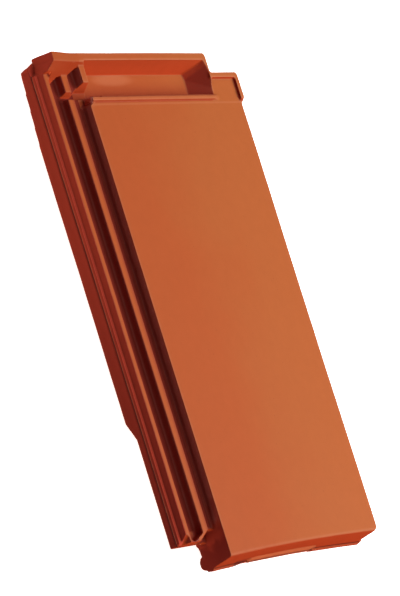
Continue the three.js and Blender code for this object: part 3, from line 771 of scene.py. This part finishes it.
@dataclass(frozen=True)
class FiredSlip:
    """The whole tile's finish: satin slip over clay that stays bare below."""

    face: FaceSlip = FaceSlip()
    walls: WallSlip = WallSlip()
    marks: PaintedShadeAndHighlights = PaintedShadeAndHighlights()
    mottle_and_light: MottleAndPaintedLight = MottleAndPaintedLight()
    bare: BareClay = BareClay()
    # Lying, open faces take the face colour. Steep faces take the darker wall colour, partly as thin slip
    # and partly as painted shade. Sheltered faces take it wholly as painted shade.
    lying_up: Border = (0.62, 0.97)
    shade_openness: Border = (0.52, 0.64)
    trough_opening: float = 0.15
    roughness: float = 0.58
    bare_roughness: float = 0.85
    mottle_dullness: float = 0.16
    grain_dullness: float = 0.12
    edge_polish: float = 0.05
    gloss: float = 0.18
    coat_roughness: float = 0.42
    grain_relief: float = 0.6
    mottle_relief: float = 0.9
    speck_relief: float = -1.5
    bare_relief: float = 1.6
    relief_strength: float = 0.55
    relief_height: float = 0.05 * MM

    def material(self) -> bpy.types.Material:
        """Builds the fired clay.

        Returns:
            The material, with slip above and bare clay on the underside.
        """
        sheet = Sheet("fired_clay_slip")
        skin = Skin(sheet)
        flank = self._flank(skin)
        open_lying = self._open_lying(skin, flank)
        specks = self.mottle_and_light.specks(skin)
        under = self.bare.mask(skin)

        slip = sheet.mix(open_lying, self.walls.paint(skin, flank), self.face.paint(skin))
        slip = self.marks.paint(skin, slip, flank)
        slip = self.mottle_and_light.paint(skin, slip, specks)
        colour = sheet.mix(under, slip, self.bare.paint(skin))

        dull = skin.mottle.swing(self.mottle_dullness) + skin.fine.swing(self.grain_dullness)
        rough = dull - skin.edge * self.edge_polish + self.roughness
        rough = rough + under * (self.bare_roughness - self.roughness)
        shader = sheet.node(
            "ShaderNodeBsdfPrincipled",
            {},
            {
                "Base Color": colour,
                "Roughness": rough,
                "Normal": self._relief(skin, specks, under),
                "Specular IOR Level": 0.0,
                "Coat Weight": open_lying * self.gloss,
                "Coat Roughness": self.coat_roughness,
            },
        )
        sheet.node("ShaderNodeOutputMaterial", {}, {"Surface": shader.outputs[0]})
        return sheet.material

    @staticmethod
    def _flank(skin: Skin) -> Signal:
        """Finds the lock's outer side, with its ledge and the cut corner at its head.

        Args:
            skin: the tile's surface.

        Returns:
            0 to 1.
        """
        flank = FLANK.mask(skin)
        corner = CUT_CORNER.mask(skin)
        return flank + corner - flank * corner

    def _open_lying(self, skin: Skin, flank: Signal) -> Signal:
        """Finds the lying faces that are open to the air, which take the face colour; steep and sheltered
        faces take the darker wall colour, the sheltered ones as painted shade.

        Args:
            skin: the tile's surface.
            flank: mask of the lock's outer side.

        Returns:
            0 to 1.
        """
        open_air = (skin.openness + TROUGH.mask(skin) * self.trough_opening).past(self.shade_openness)
        lying = skin.up.past(self.lying_up) * open_air
        return lying * (1 - flank) * (1 - CHANNELS.mask(skin))

    def _relief(self, skin: Skin, specks: Signal, under: Signal) -> Signal:
        """Presses the grain, the mottle and the specks into the surface.

        Args:
            skin: the tile's surface.
            specks: mask of the specks.
            under: mask of the bare clay.

        Returns:
            The changed direction of the surface.
        """
        height = skin.fine * self.grain_relief + skin.mottle * self.mottle_relief
        height = height + specks * self.speck_relief + under * skin.fine * self.bare_relief
        return skin.sheet.add(
            "ShaderNodeBump",
            {},
            {"Strength": self.relief_strength, "Distance": self.relief_height, "Height": height},
        )


@dataclass(frozen=True)
class StudioPaint:
    """Matt white of the studio floor, which is a table lit softly from below."""

    white: Colour = (0.86, 0.86, 0.86)
    roughness: float = 0.9
    glow: float = 0.96

    def material(self) -> bpy.types.Material:
        """Builds the matt white.

        Returns:
            The material.
        """
        sheet = Sheet("studio_white")
        shader = sheet.node(
            "ShaderNodeBsdfPrincipled",
            {},
            {
                "Base Color": self.white,
                "Roughness": self.roughness,
                "Specular IOR Level": 0.0,
                "Emission Color": self.white,
                "Emission Strength": self.glow / self.white[0],
            },
        )
        sheet.node("ShaderNodeOutputMaterial", {}, {"Surface": shader.outputs[0]})
        return sheet.material


# ---------------------------------------------------------------------------
# Small changes to the tile's shape
# ---------------------------------------------------------------------------


class Shaping(Protocol):
    """A small change to the tile's shape."""

    def shift(self, places: np.ndarray, normals: np.ndarray) -> np.ndarray:
        """Finds how far each place moves.

        Args:
            places: one row for each point.
            normals: the surface's direction there.

        Returns:
            One row for each point.
        """


@dataclass(frozen=True)
class Crease:
    """Thin groove along the lock's flank and round its cut corner, under the ledge."""

    height: float = CREASE_RISE * MM
    half_width: float = 0.9 * MM
    depth: float = 0.7 * MM
    flank_x: float = -134.8 * MM
    corner_y: float = 205 * MM
    corner_inset: float = 12 * MM
    steepness: float = 0.5

    def shift(self, places: np.ndarray, normals: np.ndarray) -> np.ndarray:
        """Presses the groove into the steep faces.

        Args:
            places: one row for each point.
            normals: the surface's direction there.

        Returns:
            One row for each point.
        """
        off = np.abs(places[:, 2] - self.height) / self.half_width
        flank = places[:, 0] < self.flank_x + self.corner_inset * (places[:, 1] > self.corner_y)
        steep = np.abs(normals[:, 2]) < self.steepness
        press = np.clip(1 - off, 0, 1) * (flank & steep) * self.depth
        return -normals * press[:, None]


@dataclass(frozen=True)
class DripStretch:
    """Middle stretch of the drip ledge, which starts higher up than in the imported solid."""

    depth: float = 1.1 * MM
    top: float = 28.2 * MM
    fade: float = 0.9 * MM
    bottom: float = 21 * MM
    left: float = -44 * MM
    right: float = 57 * MM
    front: float = -212 * MM
    facing: float = 0.5

    def shift(self, places: np.ndarray, normals: np.ndarray) -> np.ndarray:
        """Swells the stretch forward.

        Args:
            places: one row for each point.
            normals: the surface's direction there.

        Returns:
            One row for each point.
        """
        x, y, z = places.T
        swell = np.clip((self.top - z) / self.fade, 0, 1) * (z > self.bottom)
        front = (x > self.left) & (x < self.right) & (y < self.front) & (normals[:, 1] < -self.facing)
        moves = np.zeros_like(places)
        moves[:, 1] = -swell * front * self.depth
        return moves


@dataclass(frozen=True)
class HeadCorner:
    """Cut left head corner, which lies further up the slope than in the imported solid."""

    pull: float = 1.4 * MM
    right: float = -105 * MM
    foot: float = 205 * MM
    bottom: float = 22 * MM
    fade_across: float = 20 * MM
    fade_along: float = 10 * MM
    fade_up: float = 3 * MM

    def shift(self, places: np.ndarray, normals: np.ndarray) -> np.ndarray:
        """Draws the corner up the slope.

        Args:
            places: one row for each point.
            normals: not used.

        Returns:
            One row for each point.
        """
        x, y, z = places.T
        share = np.clip((self.right - x) / self.fade_across, 0, 1)
        share = share * np.clip((y - self.foot) / self.fade_along, 0, 1)
        share = share * np.clip((z - self.bottom) / self.fade_up, 0, 1)
        moves = np.zeros_like(places)
        moves[:, 1] = share * self.pull
        return moves


@dataclass(frozen=True)
class KilnWarp:
    """Slow waves and small dents that drying and firing leave. The lowest faces stay level."""

    wave_size: float = 120 * MM
    wave_height: float = 0.35 * MM
    wave_lean: float = 0.6
    wave_start: Triple = (9.2, 4.1, 6.6)
    dent_size: float = 22 * MM
    dent_height: float = 0.10 * MM
    dent_start: Triple = (3.1, 7.7, 1.3)
    level_below: float = 1.5 * MM

    def shift(self, places: np.ndarray, normals: np.ndarray) -> np.ndarray:
        """Warps the tile.

        Args:
            places: one row for each point.
            normals: the surface's direction there.

        Returns:
            One row for each point.
        """
        moves = np.empty_like(places)
        for index, (place, normal) in enumerate(zip(places, normals)):
            spot = Vector(place)
            wave = spot / self.wave_size
            slow = noise.noise(wave) * self.wave_height
            side = noise.noise(wave + Vector(self.wave_start)) * self.wave_height
            dent = noise.noise(spot / self.dent_size + Vector(self.dent_start)) * self.dent_height
            lift = 1.0 if spot.z > self.level_below else 0.0
            moves[index] = np.array((side, self.wave_lean * side, slow * lift)) + normal * (dent * lift)
        return moves


# ---------------------------------------------------------------------------
# The tile
# ---------------------------------------------------------------------------


def surface_of(mesh: bpy.types.Mesh) -> tuple[np.ndarray, np.ndarray]:
    """Reads a mesh's places and normals.

    Args:
        mesh: the mesh.

    Returns:
        One row for each vertex: its place, and its normal.
    """
    found = []
    for name in ("co", "normal"):
        values = np.empty(len(mesh.vertices) * 3)
        mesh.vertices.foreach_get(name, values)
        found.append(values.reshape(-1, 3))
    return found[0], found[1]


def store_mark(mesh: bpy.types.Mesh, name: str, values: np.ndarray) -> None:
    """Stores one value for each vertex, for the finish to read.

    Args:
        mesh: the mesh.
        name: the mark's name.
        values: the values, 0 to 1.
    """
    layer = mesh.attributes.new(name, "FLOAT", "POINT")
    layer.data.foreach_set("value", values.astype(np.float32))


@dataclass
class PressedTile:
    """The tile as it leaves the kiln: edges rounded by the slip, faces not quite flat."""

    weld: float = 0.002 * MM
    voxel: float = 0.7 * MM
    smoothing: float = 0.5
    smoothing_rounds: int = 3
    triangles: int = 192_000
    edge_rounds: int = 10
    edge_height: float = 0.40 * MM
    feelers: int = 16
    feeler_start: float = 0.3 * MM
    feeler_length: float = 60 * MM
    pressing: tuple[Shaping, ...] = (Crease(), DripStretch())
    firing: tuple[Shaping, ...] = (KilnWarp(), HeadCorner())
    finish: FiredSlip = FiredSlip()

    def build(self) -> bpy.types.Object:
        """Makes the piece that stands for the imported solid.

        Returns:
            The finished tile.
        """
        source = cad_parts[TILE_NODE]
        piece = bpy.data.objects.new("pressed_tile", self._welded(source.data))
        bpy.context.scene.collection.objects.link(piece)
        self._settle(piece, "REMESH", {"mode": "VOXEL", "voxel_size": self.voxel})
        self._settle(
            piece, "SMOOTH", {"factor": self.smoothing, "iterations": self.smoothing_rounds}
        )
        self._shape(piece.data, self.pressing)
        self._mark_edges(piece.data)
        ratio = self.triangles / (2 * len(piece.data.polygons))
        self._settle(piece, "DECIMATE", {"ratio": min(1.0, ratio), "use_collapse_triangulate": True})
        self._shape(piece.data, self.firing)
        self._mark_open(piece.data)
        piece.data.shade_smooth()
        piece.data.materials.clear()
        piece.data.materials.append(self.finish.material())
        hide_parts(TILE_NODE)
        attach(piece, TILE_BODY)
        return piece

    def _welded(self, source: bpy.types.Mesh) -> bpy.types.Mesh:
        """Copies the solid's mesh and joins the corners that its flat shading splits.

        Args:
            source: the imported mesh.

        Returns:
            A closed mesh.
        """
        places = np.empty(len(source.vertices) * 3, dtype=np.float32)
        source.vertices.foreach_get("co", places)
        keys = np.round(places.reshape(-1, 3) / self.weld).astype(np.int64)
        unique, index = np.unique(keys, axis=0, return_inverse=True)
        corners = index.reshape(-1)
        faces = [[int(corners[v]) for v in face.vertices] for face in source.polygons]
        whole = [face for face in faces if len(set(face)) == len(face)]
        mesh = bpy.data.meshes.new("pressed_tile")
        mesh.from_pydata((unique * self.weld).tolist(), [], whole)
        mesh.validate()
        mesh.update()
        return mesh

    @staticmethod
    def _settle(piece: bpy.types.Object, kind: str, settings: dict[str, Any]) -> None:
        """Runs one modifier and keeps its result as the piece's mesh.

        Args:
            piece: the object to change.
            kind: the modifier's type.
            settings: its properties.
        """
        modifier = piece.modifiers.new(kind.lower(), kind)
        for key, value in settings.items():
            setattr(modifier, key, value)
        graph = bpy.context.evaluated_depsgraph_get()
        mesh = bpy.data.meshes.new_from_object(piece.evaluated_get(graph), depsgraph=graph)
        piece.modifiers.clear()
        old = piece.data
        piece.data = mesh
        bpy.data.meshes.remove(old)
        LOG.info("%s: %s leaves %d faces", piece.name, kind.lower(), len(mesh.polygons))

    @staticmethod
    def _shape(mesh: bpy.types.Mesh, changes: Sequence[Shaping]) -> None:
        """Makes small changes to the shape, all measured on the same surface.

        Args:
            mesh: the tile's mesh.
            changes: the changes.
        """
        places, normals = surface_of(mesh)
        moved = places + sum(change.shift(places, normals) for change in changes)
        mesh.vertices.foreach_set("co", moved.ravel())
        mesh.update()

    def _mark_edges(self, mesh: bpy.types.Mesh) -> None:
        """Stores how far each place stands out of, or lies under, its neighbourhood.

        Args:
            mesh: the evenly meshed tile.
        """
        places, normals = surface_of(mesh)
        pairs = np.empty(len(mesh.edges) * 2, dtype=np.int64)
        mesh.edges.foreach_get("vertices", pairs)
        pairs = pairs.reshape(-1, 2)
        degree = np.bincount(pairs.ravel(), minlength=len(places))[:, None]
        spread = places
        for _ in range(self.edge_rounds):
            total = np.zeros_like(spread)
            np.add.at(total, pairs[:, 0], spread[pairs[:, 1]])
            np.add.at(total, pairs[:, 1], spread[pairs[:, 0]])
            spread = total / degree
        proud = np.einsum("ij,ij->i", places - spread, normals) / self.edge_height
        store_mark(mesh, EDGE_MARK, np.clip(proud, 0, 1))
        store_mark(mesh, HOLLOW_MARK, np.clip(-proud, 0, 1))

    def _mark_open(self, mesh: bpy.types.Mesh) -> None:
        """Stores how open each place is to the air around it, felt with rays that fan out.

        Args:
            mesh: the tile's mesh.
        """
        places, normals = surface_of(mesh)
        # Two directions along the surface, found from any third that isn't near its normal
        helper = np.where(np.abs(normals[:, 2:]) < 0.9, (0.0, 0.0, 1.0), (1.0, 0.0, 0.0))
        across = np.cross(helper, normals)
        across /= np.linalg.norm(across, axis=1)[:, None]
        along = np.cross(normals, across)
        tree = BVHTree.FromPolygons(
            places.tolist(), [tuple(face.vertices) for face in mesh.polygons], all_triangles=True
        )
        starts = (places + normals * self.feeler_start).tolist()
        free = np.zeros(len(places))
        golden_angle = math.pi * (3 - math.sqrt(5))
        for step in range(self.feelers):
            turn = step * golden_angle
            reach = math.sqrt((step + 0.5) / self.feelers)
            rise = math.sqrt(1 - reach * reach)
            ways = reach * (math.cos(turn) * across + math.sin(turn) * along) + rise * normals
            hits = [tree.ray_cast(a, b, self.feeler_length)[3] for a, b in zip(starts, ways.tolist())]
            free += np.array([hit is None for hit in hits])
        store_mark(mesh, OPEN_MARK, free / self.feelers)


# ---------------------------------------------------------------------------
# Studio
# ---------------------------------------------------------------------------


class Bearing(Enum):
    """Where a lamp stands round the tile, as a direction on the floor."""

    FOOT_RIGHT = (1.3, -0.9)
    OVERHEAD = (0.0, 0.0)
    HEAD_RIGHT = (0.5, 1.0)


@dataclass(frozen=True)
class SoftBox:
    """One large soft lamp aimed at the tile."""

    name: str
    bearing: Bearing
    distance: float
    height: float
    width: float
    depth: float
    power: float
    offset: Triple = (0.0, 0.0, 0.0)

    def build(self) -> bpy.types.Object:
        """Hangs the lamp.

        Returns:
            The lamp.
        """
        lamp = bpy.data.lights.new(self.name, "AREA")
        lamp.shape = "RECTANGLE"
        lamp.size = self.width
        lamp.size_y = self.depth
        lamp.energy = self.power
        body = bpy.data.objects.new(self.name, lamp)
        bpy.context.scene.collection.objects.link(body)
        across, along = self.bearing.value
        reach = math.hypot(across, along) or 1.0
        place = Vector((across / reach * self.distance, along / reach * self.distance, self.height))
        body.location = place + Vector(self.offset)
        body.rotation_mode = "QUATERNION"
        body.rotation_quaternion = (-body.location).to_track_quat("-Z", "Y")
        return body


KEY_LAMP = SoftBox(
    "key_lamp", Bearing.FOOT_RIGHT, distance=1.58, height=1.3, width=1.4, depth=1.2, power=27.0
)
TOP_LAMP = SoftBox(
    "top_lamp",
    Bearing.OVERHEAD,
    distance=0.0,
    height=1.7,
    width=1.0,
    depth=2.0,
    power=39.0,
    offset=(0.5, -0.2, 0.0),
)
HEAD_LAMP = SoftBox(
    "head_lamp", Bearing.HEAD_RIGHT, distance=1.34, height=1.3, width=1.0, depth=1.0, power=4.0
)


@dataclass
class Studio:
    """Floor, lamps and camera."""

    floor_half: float = 20.0
    world_grey: float = 0.01
    camera_place: Triple = (-2.98096, -0.50239, 1.94335)
    camera_right: Triple = (0.5516, -0.2966, 0.7796)
    camera_ahead: Triple = (0.8327, 0.1423, -0.5351)
    focal_pixels: float = 4300.0
    frame_height: float = 596.0
    film: float = 36.0
    nearest: float = 0.1
    farthest: float = 100.0
    paint: StudioPaint = StudioPaint()
    lamps: tuple[SoftBox, ...] = (KEY_LAMP, TOP_LAMP, HEAD_LAMP)

    def build(self) -> None:
        """Sets up the whole studio."""
        self._floor()
        self._world()
        for lamp in self.lamps:
            lamp.build()
            LOG.info("%s hung", lamp.name)
        self._camera()
        bpy.context.scene.view_settings.view_transform = "Standard"

    def _floor(self) -> None:
        """Lays the pale floor."""
        half = self.floor_half
        corners = [(-half, -half, 0), (half, -half, 0), (half, half, 0), (-half, half, 0)]
        mesh = bpy.data.meshes.new("studio_floor")
        mesh.from_pydata(corners, [], [(0, 1, 2, 3)])
        mesh.materials.append(self.paint.material())
        floor = bpy.data.objects.new("studio_floor", mesh)
        bpy.context.scene.collection.objects.link(floor)

    def _world(self) -> None:
        """Fills the room with an even low light."""
        world = bpy.data.worlds.new("studio_air")
        world.use_nodes = True
        background = world.node_tree.nodes["Background"]
        background.inputs["Color"].default_value = (*(self.world_grey,) * 3, 1.0)
        background.inputs["Strength"].default_value = 1.0
        bpy.context.scene.world = world

    def _camera(self) -> None:
        """Stands the camera where the whole tile is seen from its lock side."""
        data = bpy.data.cameras.new("studio_camera")
        data.sensor_width = self.film
        data.lens = self.focal_pixels / self.frame_height * self.film
        data.clip_start = self.nearest
        data.clip_end = self.farthest
        camera = bpy.data.objects.new("studio_camera", data)
        bpy.context.scene.collection.objects.link(camera)
        right = Vector(self.camera_right).normalized()
        back = -Vector(self.camera_ahead).normalized()
        up = back.cross(right)
        turn = Matrix((right, up, back)).transposed().to_4x4()
        camera.matrix_world = Matrix.Translation(self.camera_place) @ turn
        bpy.context.scene.camera = camera


# ---------------------------------------------------------------------------
# Making
# ---------------------------------------------------------------------------


def main() -> None:
    """Builds the studio and the tile."""
    logging.basicConfig(level=logging.INFO, format="%(name)s: %(message)s")
    Studio().build()
    tile = PressedTile().build()
    LOG.info("%s has %d triangles", tile.name, len(tile.data.polygons))


if __name__ == "__main__":
    main()
